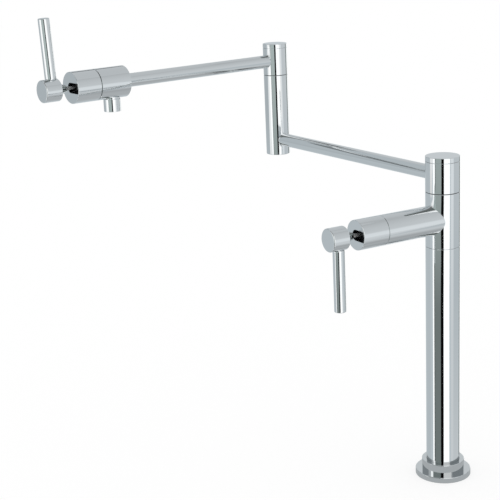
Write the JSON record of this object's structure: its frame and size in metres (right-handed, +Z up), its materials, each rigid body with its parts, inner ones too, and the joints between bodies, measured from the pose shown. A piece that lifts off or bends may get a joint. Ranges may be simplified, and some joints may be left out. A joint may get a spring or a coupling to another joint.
{
  "type": "pot filler tap",
  "caption": "Deck mount pot filler: a tall round post on a flange, a jointed swivelling arm, a lever valve on the post and another in line with the arm above a short spout nozzle.",
  "frame": {"origin": "on the post's axis in the plane of the deck, at the middle of the deck hole", "axes": "+Z up along the post; the lower valve points along -Y; the lower arm runs towards -X"},
  "size_m": [0.3618, 0.3833, 0.5966],
  "materials": {
    "chrome": "polished chrome plate",
    "raw_brass": "machined",
    "steel": "stainless, turned",
    "rubber": "matt moulded",
    "dark_plastic": "matt moulded",
    "grey_plastic": "matt moulded",
    "ceramic": "lapped ceramic"
  },
  "bodies": {
    "post": {"deck_flange": "chrome", "deck_gasket": "rubber", "threaded_shank": "raw_brass", "under_deck_rubber_washer": "rubber", "under_deck_steel_washer": "steel", "lock_nut": "raw_brass", "post_foot": "raw_brass", "post_tube": "chrome", "riser_tube": "raw_brass", "riser_orings": "rubber", "valve_body": "chrome", "post_spindle": "raw_brass", "post_spindle_orings": "rubber", "post_slip_washer": "dark_plastic", "post_top_washer": "dark_plastic", "post_retaining_ring": "steel", "lower_sleeve": "chrome", "lower_cartridge_housing": "dark_plastic", "lower_cartridge_base": "dark_plastic", "lower_cartridge_nut": "raw_brass", "lower_pivot_pin": "steel", "lower_fixed_disc": "ceramic", "lower_port_seals": "rubber"},
    "lower_arm": {"swivel_head": "chrome", "post_cap": "chrome", "lower_arm_tube": "chrome", "elbow_lower_tube": "chrome", "elbow_bottom_plug": "chrome", "elbow_spindle": "raw_brass", "elbow_spindle_orings": "rubber", "elbow_slip_washer": "dark_plastic", "elbow_top_washer": "dark_plastic", "elbow_retaining_ring": "steel"},
    "upper_arm": {"elbow_upper_housing": "chrome", "elbow_cap": "chrome", "upper_arm_tube": "chrome", "outlet_body": "chrome", "outlet_nozzle": "chrome", "aerator_insert": "grey_plastic", "aerator_washer": "rubber", "outlet_sleeve": "chrome", "outlet_cartridge_housing": "dark_plastic", "outlet_cartridge_base": "dark_plastic", "outlet_cartridge_nut": "raw_brass", "outlet_pivot_pin": "steel", "outlet_fixed_disc": "ceramic", "outlet_port_seals": "rubber"},
    "lower_handle": {"lower_stem": "steel", "lower_hub": "chrome", "lower_lever": "chrome", "lower_set_screw": "steel"},
    "lower_disc_set": {"lower_moving_disc": "ceramic", "lower_disc_carrier": "dark_plastic"},
    "outlet_handle": {"outlet_stem": "steel", "outlet_hub": "chrome", "outlet_lever": "chrome", "outlet_set_screw": "steel"},
    "outlet_disc_set": {"outlet_moving_disc": "ceramic", "outlet_disc_carrier": "dark_plastic"}
  },
  "joints": [
    {"name": "post_swivel", "type": "hinge", "parent": "post", "child": "lower_arm", "pos_m": [0, 0, 0.3352], "axis": [0, 0, 1], "continuous": true},
    {"name": "elbow_swivel", "type": "hinge", "parent": "lower_arm", "child": "upper_arm", "pos_m": [-0.31514, -0.01872, 0.436], "axis": [0, 0, 1], "continuous": true},
    {"name": "lower_lever_tilt", "type": "hinge", "parent": "post", "child": "lower_handle", "pos_m": [0, -0.1027, 0.3043], "axis": [0, 0, 1], "range_deg": [0, 25]},
    {"name": "outlet_lever_tilt", "type": "hinge", "parent": "upper_arm", "child": "outlet_handle", "pos_m": [-0.28015, -0.30167, 0.4535], "axis": [0, 0, 1], "range_deg": [0, 25]},
    {"name": "lower_disc_slide", "type": "slide", "parent": "post", "child": "lower_disc_set", "axis": [-1, 0, 0], "range_m": [0, 0.00381]},
    {"name": "outlet_disc_slide", "type": "slide", "parent": "upper_arm", "child": "outlet_disc_set", "axis": [-0.9924, -0.1227, 0], "range_m": [0, 0.00381]}
  ],
  "couplings": [
    {"joint": "lower_disc_slide", "follows": "lower_lever_tilt", "m_per_rad": 0.0087171},
    {"joint": "outlet_disc_slide", "follows": "outlet_lever_tilt", "m_per_rad": 0.0087171}
  ]
}
